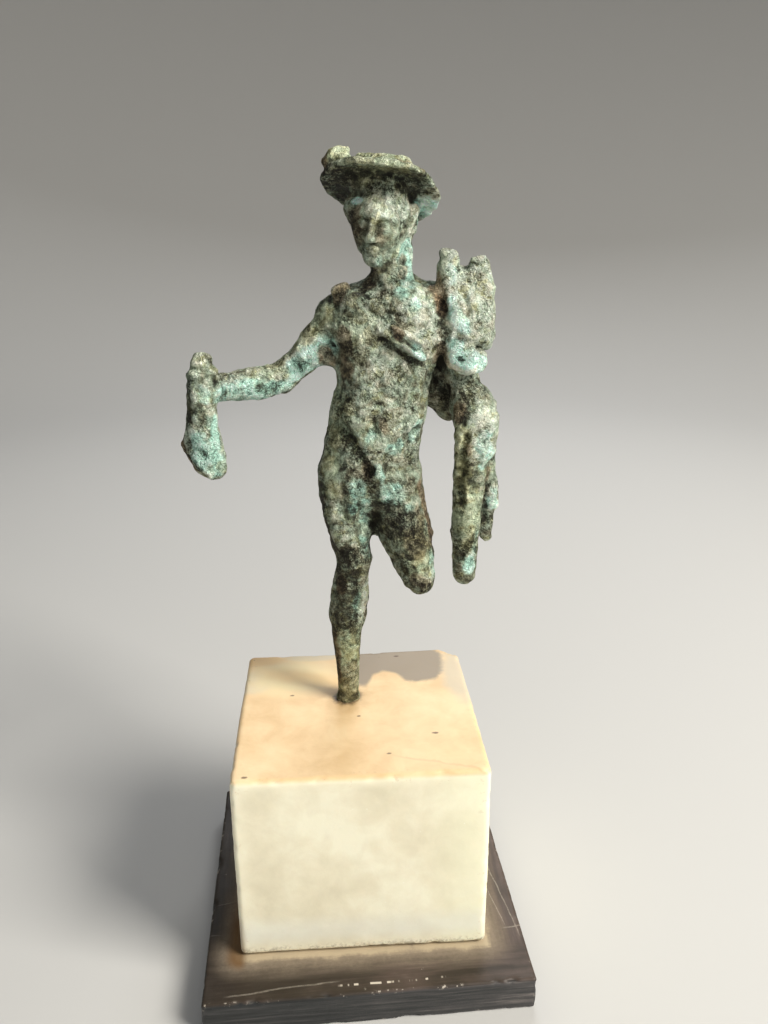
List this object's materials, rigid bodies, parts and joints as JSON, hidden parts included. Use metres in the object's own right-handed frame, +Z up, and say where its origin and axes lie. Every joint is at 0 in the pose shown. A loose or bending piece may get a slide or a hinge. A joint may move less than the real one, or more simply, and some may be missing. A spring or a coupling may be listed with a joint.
{
  "type": "bronze statuette",
  "caption": "Small corroded bronze statuette of a standing youth in a broad hat, with a purse and a bunched cloak, on a marble block and a dark slab.",
  "frame": {"origin": "middle of the slab's underside", "axes": "+Z up, -Y the way the figure faces, +X to the viewer's right when the figure faces the viewer"},
  "size_m": [0.055, 0.055, 0.1349],
  "materials": {
    "bronze": "rough corroded bronze, olive black with pale green and turquoise crust and brown patches",
    "marble": "honed cream marble, worn edges, warm stains",
    "slate": "dark slate, matt, scratched, with pale dust near the block"
  },
  "bodies": {
    "root": {"figure": "bronze", "block": "marble", "slab": "slate"}
  },
  "joints": []
}
